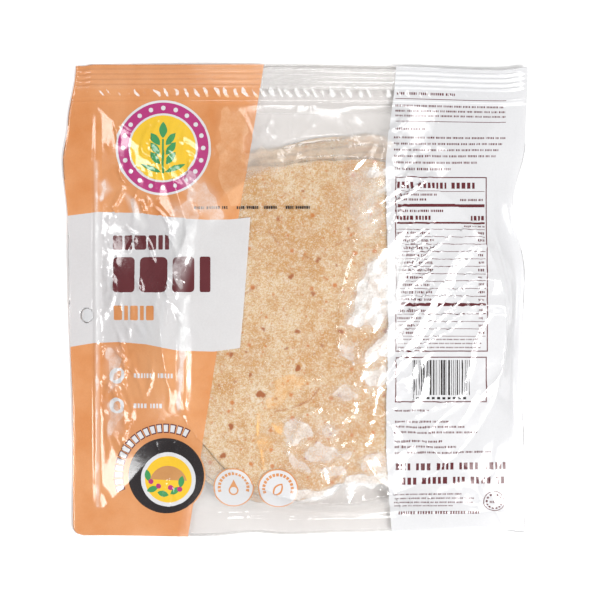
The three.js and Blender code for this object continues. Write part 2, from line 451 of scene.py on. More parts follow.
LABEL_OUTLINE = [
    (-42, 52.8), (-58, 52.6), (-81, 54.5), (-104, 57.4), (-129, 58.4), (-153, 55.8), (-153, -30.6),
    (-133, -28), (-116, -27.4), (-98, -28.7), (-76, -32.7), (-53, -33.3), (-35.8, -31), (-33, 0.3),
    (-29, 54.2),
]
PANEL_OUTLINE = [
    (HALF_WIDTH, -HALF_LENGTH), (HALF_WIDTH, HALF_LENGTH), (66.5, HALF_LENGTH), (65.2, 138),
    (61.2, 108.6), (59.5, 91), (59.5, 52), (60.3, 34), (60.5, -33), (59.4, -66), (59.4, -99),
    (61.4, -126), (63.6, -HALF_LENGTH),
]

# Rows of blocks on the label: left end, lower and upper edge, widths and ink
HEADLINE = [
    (-120, 33.4, 42.8, (6.2, 5.2, 8, 5.2, 3.0, 2.8), MAROON),
    (-120, 5.4, 28.6, (14.5, 18.5, 14.5, 7), MAROON),
    (-119.5, -13, -3.4, (5.6, 2.6, 5.2, 2.6, 5.2), ORANGE),
]
BLOCK_GAP = 0.15
BLOCK_CORNER = 0.18


def around(x, y, radius, angle):
    """The point at an angle and a distance from a middle."""
    return x + radius * cos(angle), y + radius * sin(angle)


class Print:
    """Flat shapes of ink on the sheet. A later shape covers an earlier one."""

    def __init__(self, seed):
        self.shapes = []
        self.rng = np.random.default_rng(seed)

    def shape(self, points, ink):
        """One outline, kept just inside the sheet, anticlockwise."""
        wide, long = HALF_WIDTH - EDGE_INSET, HALF_LENGTH - EDGE_INSET
        outline = [(min(max(px, -wide), wide), min(max(py, -long), long)) for px, py in points]
        area = sum(a[0] * b[1] - b[0] * a[1] for a, b in zip(outline, outline[1:] + outline[:1]))
        self.shapes.append((outline if area > 0 else outline[::-1], ink))

    def box(self, left, right, low, high, ink=MAROON):
        """A level rectangle."""
        self.shape([(left, low), (right, low), (right, high), (left, high)], ink)

    def bar(self, left, right, middle, height, ink=MAROON):
        """A level bar, given its two ends, the height of its middle line and its thickness."""
        self.box(left, right, middle - height / 2, middle + height / 2, ink)

    def frame(self, left, right, low, high, line=0.7):
        """A thin rectangular frame with a white field."""
        self.box(left, right, low, high)
        self.box(left + line, right - line, low + line, high - line, WHITE)

    def rounded(self, left, right, low, high, radius, ink, steps=5):
        """A level rectangle with rounded corners."""
        corners = [(right - radius, high - radius), (left + radius, high - radius),
                   (left + radius, low + radius), (right - radius, low + radius)]
        self.shape([around(*corner, radius, radians(90 * k + 90 * i / (steps - 1)))
                    for k, corner in enumerate(corners) for i in range(steps)], ink)

    def disc(self, x, y, radius, ink, count=72, squeeze=1.0):
        """A disc, or with squeeze an upright oval."""
        angles = [2 * pi * i / count for i in range(count)]
        self.shape([(x + radius * cos(a), y + radius * squeeze * sin(a)) for a in angles], ink)

    def words(self, left, right, middle, height, full=1.0, ink=MAROON):
        """A row of groups of upright ticks, which stands for a line of words."""
        end = left + (right - left) * full
        start = left
        while start < end - height:
            for _ in range(self.rng.integers(*TICKS_PER_WORD)):
                width = height * self.rng.uniform(*TICK_WIDTH)
                if start + width > end:
                    break
                self.bar(start, start + width, middle, height * WORD_SHARE, ink)
                start += width + TICK_GAP * height
            start += WORD_GAP * height

    def arc_blocks(self, x, y, radius, thick, start, end, count, ink, share=0.72):
        """Short blocks along an arc, with angles in degrees."""
        step = (end - start) / count
        inner, outer = radius - thick / 2, radius + thick / 2
        for i in range(count):
            first = radians(start + step * i)
            last = radians(start + step * (i + share))
            middle = (first + last) / 2
            corners = [(inner, first), (outer, first), (outer, middle),
                       (outer, last), (inner, last), (inner, middle)]
            self.shape([around(x, y, *corner) for corner in corners], ink)

    def leaf(self, x, y, length, width, turn, ink, steps=9):
        """A pointed leaf or grain, turned by an angle in degrees."""
        along = [i / steps for i in range(steps)]
        sides = [(share, width / 2) for share in along] + [(1 - share, -width / 2) for share in along]
        points = []
        for share, half in sides:
            a, b = (share - 0.5) * length, half * sin(pi * share) ** 0.8
            points.append((x + a * cos(radians(turn)) - b * sin(radians(turn)),
                           y + a * sin(radians(turn)) + b * cos(radians(turn))))
        self.shape(points, ink)


def orange_field(sheet, narrower=0.0):
    """The orange field on the left, whose right edge slants across the bag."""
    low, high = (-45.4 + 0.1607 * y - narrower for y in (-HALF_LENGTH, HALF_LENGTH))
    sheet.shape([(-HALF_WIDTH, -HALF_LENGTH), (low, -HALF_LENGTH), (high, HALF_LENGTH),
                 (-HALF_WIDTH, HALF_LENGTH)], ORANGE)


def round_emblem(sheet):
    """A round badge with a beaded rose ring and an ear of wheat on yellow."""
    x, y, radius = -86.7, 100.3, 31.5
    sheet.disc(x, y, radius, WHITE, 96)
    sheet.disc(x, y, radius - 1.5, ROSE, 96)
    beads = 20
    for i in range(beads):
        sheet.disc(*around(x, y, radius - 5, 2 * pi * i / beads), 1.5, WHITE, 16)
    sheet.disc(x, y, radius - 8.5, WHITE, 96)
    sheet.disc(x, y, radius - 9.8, YELLOW, 96)
    sheet.shape([(x - 0.8, y - 17), (x + 0.8, y - 17), (x + 0.6, y + 6), (x - 0.6, y + 6)], GREEN)
    sheet.leaf(x, y + 12, 11, 5.2, 90, GREEN)
    for row in range(3):
        for side in (-1, 1):
            sheet.leaf(x + side * 5.2, y + 6 - 6.4 * row, 10.5, 4.8, 90 - side * 38, GREEN)
    for side in (-1, 1):
        sheet.leaf(x + side * 8, y - 13.5, 15, 3.4, 90 - side * 68, GREEN)


def headline(sheet):
    """Plain rounded blocks on the label where a name would be."""
    for left, low, high, widths, ink in HEADLINE:
        for width in widths:
            radius = min(width, high - low) * BLOCK_CORNER
            sheet.rounded(left, left + width, low, high, radius, ink)
            left += width + BLOCK_GAP * (high - low)


def left_marks(sheet):
    """Two white discs with a leaf and a drop of orange, each beside a short row of ticks."""
    x = -117.2
    for y, end in ((-49.2, -78), (-69.0, -86)):
        sheet.disc(x, y, 5.3, WHITE, 40)
        sheet.words(-106, end, y, 4.2, ink=WHITE)
    sheet.leaf(x, -49.2, 8, 4.4, 50, ORANGE)
    sheet.disc(x, -69.4, 2.5, ORANGE, 24, 1.3)


def round_picture(sheet):
    """A dark round field with a plate, half a bread and greens, inside an arc of pale blocks."""
    x, y, radius = -84.8, -115.2, 25.0
    sheet.disc(x, y, radius + 0.9, ORANGE, 96)
    sheet.disc(x, y, radius, DARK, 96)
    sheet.disc(x + 1.5, y - 2.5, 18, WHITE, 80)
    sheet.disc(x + 1.5, y - 2.5, 15.4, YELLOW, 80)
    sheet.shape([around(x + 1.5, y - 6, 12.5, radians(turn)) for turn in range(12, 170, 8)], TAN)
    for dx, dy, turn in ((-9, -9, 20), (-2, -12, -15), (6, -10, 35), (10, -4, 80), (-12, 0, 100)):
        sheet.leaf(x + dx, y + dy, 8, 4, turn, GREEN)
    for dx, dy in ((-5, -7), (3, -8), (9, -9), (-10, -4)):
        sheet.disc(x + dx, y + dy, 1.7, ROSE, 20)
    sheet.arc_blocks(x, y, 31.5, 6.2, 199, 60, 17, MAROON, 0.84)
    sheet.arc_blocks(x, y, 31.5, 4.6, 198.2, 59.6, 17, WHITE, 0.62)


def round_badges(sheet):
    """Two white badges with an orange ring over the window's lower edge."""
    for x, y in ((-40.4, -122.6), (-11.1, -123.0)):
        sheet.disc(x, y, 13.2, ORANGE, 80)
        sheet.disc(x, y, 12.4, WHITE, 80)
        sheet.arc_blocks(x, y, 9.4, 2.0, 200, -20, 15, ORANGE)
    sheet.disc(-40.4, -124.6, 3.3, ORANGE, 32)
    sheet.shape([(-43.4, -123.2), (-37.4, -123.2), (-40.4, -117.2)], ORANGE)
    sheet.disc(-40.4, -124.6, 2.3, WHITE, 32)
    sheet.leaf(-11.1, -123.4, 10, 6, 55, ORANGE)
    sheet.leaf(-11.1, -123.4, 7.4, 3.6, 55, WHITE)


def code_marks(sheet):
    """A row of small dark ticks where a date would be stamped."""
    for left, right in ((-66, -41), (-38, -23), (-20, -9), (-6, 13)):
        sheet.words(left, right, 60.6, 2.6, ink=DARK)


def panel_lines(sheet):
    """The right panel's rows of ticks above and below its table."""
    left, right = 66.0, 139.0
    sheet.words(left + 1, 105.6, 137.2, 2.4)
    for y in (133.6, 118.5):
        sheet.bar(left, right, y, 0.45)
    for y in (129, 125.7, 122.4):
        sheet.words(left, right, y, 1.8)
    sheet.words(left, 86, 113.2, 2.1)
    for i, full in enumerate((1.0, 0.97, 0.93, 0.92, 0.76)):
        sheet.words(left - 1, right, 107.3 - 4.25 * i, 1.9, full)
    sheet.words(left - 1, 103, 86.1, 2.3)
    sheet.words(left - 1, 88, -71.6, 1.6)
    for y, full in ((-78.9, 0.5), (-82.4, 0.62), (-86, 0.74), (-91.7, 0.42), (-95.4, 0.55), (-99.2, 0.86)):
        sheet.words(left - 1, right, y, 1.8, full)
    sheet.words(left - 0.5, right + 1, -108.4, 6.4)
    sheet.words(left - 0.5, right + 1.5, -117.8, 6.4)
    for y, full in ((-127, 0.6), (-129.8, 0.72), (-132.6, 0.7), (-135.4, 0.52)):
        sheet.words(left - 1, right, y, 1.4, full)
    sheet.words(68, 121, -141, 3.2)
    x, y = 131, -132.3
    sheet.disc(x, y, 7.4, MAROON, 56)
    sheet.disc(x, y, 6.8, WHITE, 56)
    sheet.arc_blocks(x, y, 5.2, 1.3, 0, 360, 13, MAROON, 0.6)
    sheet.words(127.8, 134.2, y, 2.0)


def ruled_table(sheet):
    """A framed table: a heading, thick rules and thin ruled rows with a mark at each end."""
    sheet.frame(65.3, 125.7, -33.3, 80.9)
    left, right = 65.3 + 1.4, 125.7 - 1.4
    ends = 119.5
    sheet.words(left, 118.5, 75.2, 5.6)
    sheet.bar(left, right, 71.4, 0.35)
    sheet.words(left, 93, 69.0, 1.9)
    sheet.words(left, 87, 65.8, 2.0)
    sheet.words(108, right, 65.8, 2.0)
    sheet.bar(left, right, 62.0, 2.0)
    sheet.words(left, 98, 58.4, 2.2)
    sheet.words(left, 89, 53.9, 3.8)
    sheet.words(115, right, 53.9, 4.2)
    sheet.bar(left, right, 50.6, 1.2)
    pitch = 4.82
    sheet.words(110, right, 48.4, 1.5)
    for i in range(10):
        line = 46.4 - pitch * i
        sheet.bar(left, right, line, 0.35)
        indent = 3.5 if i in (1, 2, 6, 7) else 0
        sheet.words(left + indent, 84 + sheet.rng.uniform(-3, 9), line - pitch / 2, 2.0)
        if i != 2:
            sheet.words(ends, right, line - pitch / 2, 2.0)
    sheet.bar(left, right, -2.6, 2.0)
    for i in range(4):
        line = -6.4 - pitch * (i + 0.5)
        sheet.words(left, 82 + sheet.rng.uniform(-3, 7), line + 2.2, 2.0)
        sheet.words(ends, right, line + 2.2, 2.0)
        sheet.bar(left, right, line, 0.35)
    for y in (-25.4, -28.0, -30.6):
        sheet.words(left, right, y, 1.2, 0.96)


def stripe_box(sheet):
    """A framed block of upright stripes of uneven width, with short bars under it."""
    sheet.frame(65.3, 125.0, -66.3, -36.6)
    x = 76.6
    while x < 114.0:
        width = float(sheet.rng.choice((0.4, 0.4, 0.8, 1.2)))
        low = -64.6 if sheet.rng.random() < 0.12 else -61.6
        sheet.box(x, x + width, low, -38.8, DARK)
        x += width + float(sheet.rng.choice((0.4, 0.8, 0.8, 1.2)))
    for i in range(10):
        sheet.bar(79 + 3.4 * i, 80.9 + 3.4 * i, -63.6, 1.5, DARK)


def front_print():
    """All that is printed on the front."""
    sheet = Print(5)
    orange_field(sheet)
    sheet.shape(LABEL_OUTLINE, LABEL)
    sheet.shape(PANEL_OUTLINE, WHITE)
    for part in (round_emblem, headline, left_marks, round_picture, round_badges, code_marks,
                 panel_lines, ruled_table, stripe_box):
        part(sheet)
    return sheet.shapes


def back_print():
    """The back: a plain orange field behind the front's, a little narrower."""
    sheet = Print(6)
    orange_field(sheet, 6)
    return sheet.shapes


# ---- the bag's mesh

FRONT_PITCH = 1.25
BACK_PITCH = 4.0
ZIP_PITCH = 0.5
OUTLINE_PITCH = 1.2
OUTLINE_CLEARANCE = 0.32
HOLE_SIDES = 48
RIM_REACH = 1e-5
HOLE_REACH = 0.02
WELD_REACH = 2e-5
VEIL = 0.19
VEIL_WIDTH = 7.0
VEIL_LOOSE = 0.05
# More haze towards the top, led a little over the top bread's upper edge as painted light over the shade
# there: where it starts, its width, how much more and how far it leads
TOP_VEIL_OVER_SHADE = {"start": 62.0, "width": 26.0, "more": 0.5, "lead": 5.0}
VEIL_ON_BREAD = {"less": 0.45, "width": 5.0}

# Patches of painted highlight and painted reflection on the film, some laid over the shade along the top
# bread's upper edge: strength, warmth from 0 to 1, convex outline
PAINTED_GLEAMS = [
    (0.76, 0, [(33, -16), (52, -18), (70, -6), (70, 37), (47, 25), (40, 5)]),
    (0.66, 0, [(41, -40), (52, -41), (70, -29), (70, -12), (58, -20)]),
    (0.68, 0, [(42.5, 86), (45, 78), (70, 81), (70, 86)]),
    (0.62, 0, [(50, 71), (53.5, 66.5), (62, 72.5), (62, 77.5)]),
    (0.62, 0, [(50, 71), (46, 58), (45, 46), (48.5, 46), (53.5, 66.5)]),
    (0.36, 0, [(29, -36), (31, -28), (40, -28), (39, -38)]),
    (0.62, 0, [(44.5, -47.5), (48.5, -57.5), (54.5, -58.5), (60, -51), (60, -40)]),
    (0.36, 0, [(23, -61), (30, -66), (40.5, -63), (41.5, -56), (31.5, -55)]),
    (0.4, 0, [(-8, -78), (-6, -94), (3, -94), (12, -87), (4, -77)]),
    (0.42, 0, [(8, -94), (6.5, -102), (13, -107), (35, -104), (36.5, -99), (20, -95)]),
    (0.34, 0, [(15, -80), (14, -88), (27, -92), (31, -84)]),
    (0.36, 0, [(15, -110), (22, -117), (34, -112), (30, -107)]),
    (0.36, 0, [(-6.5, -97), (0, -110), (10, -112), (5, -104)]),
    (0.64, 0, [(28, -121), (34, -114.5), (46, -112.5), (66, -114), (66, -122), (44, -122)]),
    (0.36, 0, [(44, -112), (40, -106), (50, -99), (66, -98), (66, -111)]),
    (0.72, 0, [(-129, 77), (-125, 79), (-121.5, 73), (-127, 68)]),
    (0.72, 0, [(-112, 70), (-106, 66), (-97.5, 49), (-100, 46), (-107, 57)]),
    (0.4, 0, [(-75, 80), (-66, 84), (-52, 70), (-47, 54), (-55, 49), (-66, 62)]),
    (0.27, 0.65, [(-50, 126), (-33, 126), (-31, 68), (-42, 60), (-51, 84)]),
    (0.22, 0, [(34, 84), (56, 80), (58, 44), (42, 40), (35, 62)]),
    (0.3, 0.45, [(-35, 84), (-32, 98), (23, 102), (25, 91.5), (-3, 87)]),
    (0.24, 0.35, [(24, 91.5), (25, 103), (62, 104), (62, 93)]),
    (0.6, 0, [(-3, -132), (-1, -123.5), (8, -123.5), (19, -124.5), (18.5, -128.4), (8, -130.6)]),
    (0.9, 0, [(-3, -132.6), (-3, -130.4), (8, -128.8), (18.5, -126.6), (18.5, -129), (8, -131)]),
    (0.9, 0, [(18, -124.6), (29, -118.6), (30.5, -120.4), (24, -126.4), (18.5, -129)]),
    (0.62, 0, [(32, -120.5), (41, -120.5), (34, -128)]),
    (0.58, 0, [(-132.2, 92), (-131, -136), (-129, -136), (-129.8, 92)]),
    (0.72, 0, [(-75.5, 2.5), (-76, -30), (-78.5, -72), (-76, -72), (-70.5, -30), (-69.5, 2.5)]),
    (0.36, 0, [(-82, 64), (-79, 22), (-74, 6), (-66, 30), (-63, 64)]),
    (0.44, 0, [(-124, -31), (-122, -59), (-116, -57), (-115, -31)]),
    (0.4, 0, [(-124, -68), (-122, -88), (-114, -86), (-115, -67)]),
    (0.27, 1.0, [(-20, -73), (-9, -67), (7.5, -51), (-1, -47.5), (-12, -52), (-16, -62)]),
    (0.58, 1.0, [(-25.5, -91), (-21.5, -96.5), (-17, -97), (-15.5, -92), (-20, -88)]),
    (0.6, 1.0, [(-25, -73), (-25.5, -89), (-23.3, -89), (-22.8, -73)]),
    (0.6, 1.0, [(-23, -96), (-21.2, -110), (-19.2, -110), (-20.8, -96)]),
    (0.56, 1.0, [(-15, -80.5), (-13, -85), (-9, -87.5), (-7, -80.5)]),
]
# How the patches of painted highlight are drawn: facets, ragged edges, soft painted glow and uneven strength
GLEAM = {"length": 11.0, "layers": 3, "seed": 8, "jagged": 7.5, "edge": 1.1, "soft": 0.42,
         "soft_width": 9.0, "uneven": 7.0, "uneven_seed": 12, "plain": 0.57, "by_facet": 0.46,
         "by_wave": 0.13}
EDGE_LIMIT = 9.0
# Painted highlights along the crests of the crimps below the zip
CRIMP_GLEAM = {"strength": 0.7, "level": 0.25, "edge": 0.12, "length": 14.0, "seed": 3, "wavy": 0.5}


def hole_ring():
    """The punched hole's outline."""
    turns = [2 * pi * i / HOLE_SIDES for i in range(HOLE_SIDES)]
    return [around(HOLE["x"], HOLE["y"], HOLE["radius"], turn) for turn in turns]


def sheet_places(pitch, zip_pitch):
    """A grid of places on the sheet, with closer rows in the zip band."""
    columns = np.linspace(-HALF_WIDTH, HALF_WIDTH, round(BAG_WIDTH / pitch) + 1)
    below = np.linspace(-HALF_LENGTH, ZIP_START, round((ZIP_START + HALF_LENGTH) / pitch) + 1)
    band = np.linspace(ZIP_START, HALF_LENGTH, round(ZIP_BAND / zip_pitch) + 1)
    return [(float(x), float(y)) for y in (*below[:-1], *band) for x in columns]


def stepped(outline):
    """An outline with added points, so that it follows the film between its corners."""
    points = []
    for start, end in zip(outline, outline[1:] + outline[:1]):
        steps = max(1, ceil(dist(start, end) / OUTLINE_PITCH))
        points += [tuple(a + (b - a) * (i / steps) for a, b in zip(start, end)) for i in range(steps)]
    return points


def triangulated(places, shapes):
    """Triangles over the places, split along the shapes, with each triangle's ink."""
    loops = [stepped(outline) for outline, _ in shapes]
    tree = KDTree(sum(len(loop) for loop in loops))
    for i, place in enumerate(place for loop in loops for place in loop):
        tree.insert((*place, 0), i)
    tree.balance()
    points = [
        Vector(place) for place in places
        if on_rim(place) or tree.find((*place, 0))[2] > OUTLINE_CLEARANCE
    ]
    outlines = []
    for loop in loops:
        first = len(points)
        points += [Vector(place) for place in loop]
        outlines.append(list(range(first, len(points))))
    made = delaunay_2d_cdt(points, [], outlines, 0, 1e-6)
    places_out = np.array([tuple(point) for point in made[0]])
    faces, inks = [], []
    for face, inside in zip(made[2], made[5]):
        ink = shapes[max(inside)][1] if inside else CLEAR
        if ink is not None:
            faces.append(face)
            inks.append(ink)
    return places_out, faces, inks


def veil_share(x, y):
    """How milky the clear film is: hardly where it lies on bread, most where it hangs free, and led a little
    over the top bread's upper edge, where it paints light over the shade there.
    """
    off = np.hypot(x - TOP_PILE["x"], y - TOP_PILE["y"]) - TOP_PILE["radius"]
    top = smooth_step((y - TOP_VEIL_OVER_SHADE["start"]) / TOP_VEIL_OVER_SHADE["width"])
    # The lead lays the haze over the top bread's upper edge: painted light over the shade there
    hanging = np.clip((off + TOP_VEIL_OVER_SHADE["lead"] * top) / VEIL_WIDTH, 0, 1)
    hanging = hanging * np.clip(inside_seals(x, y) / VEIL_WIDTH, 0, 1)
    inward = LOWER_PILE["radius"] - np.hypot(x - LOWER_PILE["x"], y - LOWER_PILE["y"])
    hanging = hanging * (1 - VEIL_ON_BREAD["less"] * np.clip(inward / VEIL_ON_BREAD["width"], 0, 1))
    return VEIL * (1 + TOP_VEIL_OVER_SHADE["more"] * top) * hanging + VEIL_LOOSE * loose_share(x, y)


def inside_outline(outline, x, y):
    """How far points lie inside a convex outline, below 0 outside it."""
    middle = np.mean(outline, axis=0)
    nearest = np.full_like(x, np.inf)
    for start, end in zip(outline, outline[1:] + outline[:1]):
        run_x, run_y = end[0] - start[0], end[1] - start[1]
        side = ((y - start[1]) * run_x - (x - start[0]) * run_y) / hypot(run_x, run_y)
        inward = (middle[1] - start[1]) * run_x - (middle[0] - start[0]) * run_y
        nearest = np.minimum(nearest, side if inward > 0 else -side)
    return nearest


def painted_highlight_layers(x, y):
    """The patches of painted highlight and the crimps' painted highlights: their edge, 0 outside and 1
    inside, their strength, the soft painted glow round a patch and the warmth of its painted reflection.
    """
    facets = faceted(x, y, np.random.default_rng(GLEAM["seed"]), GLEAM["length"], GLEAM["layers"])
    uneven = rolling(x, y, np.random.default_rng(GLEAM["uneven_seed"]), GLEAM["uneven"])
    edge = np.full_like(x, -EDGE_LIMIT)
    strength, painted_halo, warm_reflection = np.zeros((3, len(x)))
    for patch_strength, patch_warm, outline in PAINTED_GLEAMS:
        inside = inside_outline(outline, x, y)
        width = inside.max()
        share = (inside + min(GLEAM["jagged"], 2 * width) * (facets - 0.5)) / GLEAM["edge"]
        first = share > edge
        edge = np.where(first, share, edge)
        strength = np.where(first, patch_strength, strength)
        warm_reflection = np.where(first, patch_warm, warm_reflection)
        reach = min(GLEAM["soft_width"], 2 * width)
        soft = smooth_step((inside + reach / 2) / reach)
        painted_halo = np.maximum(painted_halo, GLEAM["soft"] * patch_strength * soft)
    strength = strength * (GLEAM["plain"] + GLEAM["by_facet"] * facets + GLEAM["by_wave"] * uneven)
    # Above the zip band's start, the crimps' painted highlights take the place of the patches
    wavy = rolling(x, y, np.random.default_rng(CRIMP_GLEAM["seed"]), CRIMP_GLEAM["length"])
    crimped = (crimps(x, y) * (1 + CRIMP_GLEAM["wavy"] * wavy) - CRIMP_GLEAM["level"]) / CRIMP_GLEAM["edge"]
    on_crimp = y > ZIP_START
    edge = np.clip(np.where(on_crimp, crimped, edge), -EDGE_LIMIT, EDGE_LIMIT)
    strength = np.where(on_crimp, CRIMP_GLEAM["strength"], strength)
    return {"edge": edge, "gleam": strength, "painted_halo": np.where(on_crimp, 0, painted_halo), "warm_reflection": warm_reflection}


def on_rim(place):
    """True on the sheet's rim or the hole's edge."""
    rim = min(abs(abs(place[0]) - HALF_WIDTH), abs(abs(place[1]) - HALF_LENGTH))
    hole = abs(hypot(place[0] - HOLE["x"], place[1] - HOLE["y"]) - HOLE["radius"])
    return rim < RIM_REACH or hole < HOLE_REACH


def bag_film(materials):
    """The whole bag of film as one closed skin: both sheets, joined at the rim and the hole."""
    hole = [(hole_ring(), None)]
    front, front_faces, front_inks = triangulated(
        sheet_places(FRONT_PITCH, ZIP_PITCH), front_print() + hole)
    rim_places = [tuple(place) for place in front if on_rim(place)]
    inner = [place for place in sheet_places(BACK_PITCH, BACK_PITCH) if not on_rim(place)]
    back, back_faces, back_inks = triangulated(rim_places + inner, back_print() + hole)
    front_x, front_y, back_x, back_y = *front.T, *back.T
    points = np.concatenate([
        upper_points(front_x, front_y), metres(back_x, back_y, lower_film(back_x, back_y))])
    faces = front_faces + [[len(front) + i for i in reversed(face)] for face in back_faces]
    mesh = new_mesh("bag_film", points, faces, materials)
    mesh.polygons.foreach_set("material_index", front_inks + back_inks)
    layers = {**painted_highlight_layers(front_x, front_y), "veil": veil_share(front_x, front_y)}
    for name, values in layers.items():
        carried(mesh, name, np.concatenate([values, np.zeros(len(back))]))
    welded = bmesh.new()
    welded.from_mesh(mesh)
    welded.verts.ensure_lookup_table()
    rim = [welded.verts[i] for i, place in enumerate([*front, *back]) if on_rim(place)]
    bmesh.ops.remove_doubles(welded, verts=rim, dist=WELD_REACH)
    loose = [vertex for vertex in welded.verts if not vertex.link_faces]
    bmesh.ops.delete(welded, geom=loose, context="VERTS")
    welded.to_mesh(mesh)
    welded.free()
    return new_piece("bag_film", mesh)


def new_mesh(name, points, faces, materials):
    """A smooth mesh with its materials."""
    mesh = bpy.data.meshes.new(name)
    mesh.from_pydata(points.tolist(), [], faces)
    mesh.shade_smooth()
    for material in materials:
        mesh.materials.append(material)
    return mesh


def carried(mesh, name, values):
    """A number at each of the mesh's points, for its materials."""
    layer = mesh.attributes.new(name, "FLOAT", "POINT")
    layer.data.foreach_set("value", values.astype(np.float32))


def new_piece(name, mesh):
    """A piece in the scene that rides on the bag's body."""
    piece = bpy.data.objects.new(name, mesh)
    bpy.context.scene.collection.objects.link(piece)
    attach(piece, BODY)
    return piece


# ---- the zip

# The zip's halves: lower and upper edge, and where they lie between the films, from 0 to 1
ZIP_STRIPS = {"zip_track_upper": (140.0, 153.0, 0.72), "zip_track_lower": (139.0, 153.5, 0.28)}
ZIP_THICKNESS = 0.22
ZIP_INSET = 4.0
ZIP_GRID = (154, 30)
ZIP_CLEARANCE = 0.15
ZIP_ROOM = 0.2


def closed_slab(name, x, y, upper, lower, material):
    """A closed piece between two heights over a grid of places."""
    rows, columns = x.shape
    count = rows * columns
    faces = []
    for j in range(rows - 1):
        for i in range(columns - 1):
            a = j * columns + i
            quad = (a, a + 1, a + columns + 1, a + columns)
            faces += [quad, tuple(count + k for k in reversed(quad))]
    rim = [i for i in range(columns - 1)]
    rim += [j * columns + columns - 1 for j in range(rows - 1)]
    rim += [(rows - 1) * columns + i for i in range(columns - 1, 0, -1)]
    rim += [j * columns for j in range(rows - 1, 0, -1)]
    for a, b in zip(rim, rim[1:] + rim[:1]):
        faces.append((b, a, count + a, count + b))
    points = np.concatenate([metres(x, y, height).reshape(-1, 3) for height in (upper, lower)])
    return new_piece(name, new_mesh(name, points, faces, [material]))


def zip_strip(name, low, high, share, material):
    """One half of the zip: a thin ribbed strip between the films, from seal to seal."""
    reach = HALF_WIDTH - ZIP_INSET
    x, y = np.meshgrid(np.linspace(-reach, reach, ZIP_GRID[0]), np.linspace(low, high, ZIP_GRID[1]))
    lowest = lower_film(x, y) + ZIP_CLEARANCE
    room = upper_film(x, y) - ZIP_CLEARANCE - lowest
    middle = lowest + room * share
    half = np.minimum(ZIP_THICKNESS / 2, room * ZIP_ROOM)
    return closed_slab(name, x, y, middle + half, middle - half, material)


# ---- the punched scrap

# It still hangs in the hole by its right side and sags to the left
SCRAP = {"radius": 4.4, "hinge": 1.0, "sag": 1.5, "bend": 1.3, "thickness": 0.08, "steps": 21}


def hole_scrap(material):
    """The round scrap of film in the punched hole."""
    steps = np.linspace(-1, 1, SCRAP["steps"])
    side, up = np.meshgrid(steps, steps)
    across = side * np.sqrt(1 - up * up / 2)
    along = up * np.sqrt(1 - side * side / 2)
    x = HOLE["x"] + SCRAP["radius"] * across + SCRAP["hinge"] * np.clip(across, 0, None)
    y = HOLE["y"] + SCRAP["radius"] * along
    hinge_x = HOLE["x"] + SCRAP["radius"] + SCRAP["hinge"]
    hinge = upper_film(np.array([hinge_x]), np.array([HOLE["y"]])) + SCRAP["thickness"]
    height = hinge - SCRAP["sag"] * ((1 - across) / 2) ** SCRAP["bend"]
    return closed_slab("hole_scrap", x, y, height, height - SCRAP["thickness"], material)


# ---- the breads

BREAD_COUNT = 10
BREAD_THICKNESS = 1.84
BREAD_FLOOR = 0.15
FILM_CLEARANCE = 0.3
BREAD_SEED = 23
SWAY = {"height": 0.35, "length": 60, "seed": 35, "lift": 0.5, "slack": 1.2, "least_room": 0.5}
BUBBLES = {"count": 90, "reach": 100, "radius": (2, 6), "height": (0.12, 0.4)}
RIPPLES = [(0.10, 9), (0.05, 3.5)]
# The edge: shares of the radius, and how far the last two rings are lowered as shares of the thickness
EDGE_RINGS = (0.985, 0.993)
EDGE_DROPS = (0.28, 0.45)
EDGE_CALM = 0.3
UPPER_FACE = 0.97
LOWER_FACE = 0.03
UPPER_CLEARANCE = 0.15

# Rings and sectors of the uppermost bread's mesh and of the others'
UPPER_GRID = (140, 560)
LOWER_GRID = (24, 240)

# Where the breads' middles lie, from the lowest to the uppermost, and their radii
BREAD_PLACES = [
    (28.0, -7.5, 113.5), (26.5, -5.0, 114.0), (29.0, -8.5, 113.0), (27.5, -6.0, 114.5),
    (30.0, -10.0, 112.5), (26.0, -12.5, 113.5), (28.0, -16.0, 113.0), (15.0, -26.5, 113.0),
    (20.5, -23.5, 114.0), (26.4, -19.5, 113.8),
]
UNEVEN = 2.2
RAGGED = 0.16
# How far the breads' edges stray from round: angle in degrees and millimetres outwards
UPPER_OUTLINE = [(-180, 0), (-135, 1), (-115, 5.5), (-97, -2.8), (-75, 0), (40, 0), (73, 2.5),
                 (93, -2.8), (106, -3.4), (120, 6.8), (140, 4), (165, 0), (180, 0)]
LOWER_OUTLINE = [(-180, 0), (-150, 0), (-128, 5), (-112, 2), (-98, 0), (40, 0), (74, 4.0), (92, -2.0),
                 (106, -2.0), (120, 4.5), (150, 0), (180, 0)]
# The crease below the breads, from left to right, which no bread reaches past
LOWER_CREASE = [(-90, -122), (-59, -124.5), (-28, -133), (0, -131.5), (15, -128), (29, -119.5), (42, -119),
                (60, -120), (100, -112)]
CREASE_STEPS = 8
LEAST_DOWN = 0.05
# The uppermost bread's edge is tucked in towards its lower right: turn in degrees, spread and depth
TUCK = {"turn": -56.0, "spread": 13.0, "depth": 17.0, "ragged": 0.12}

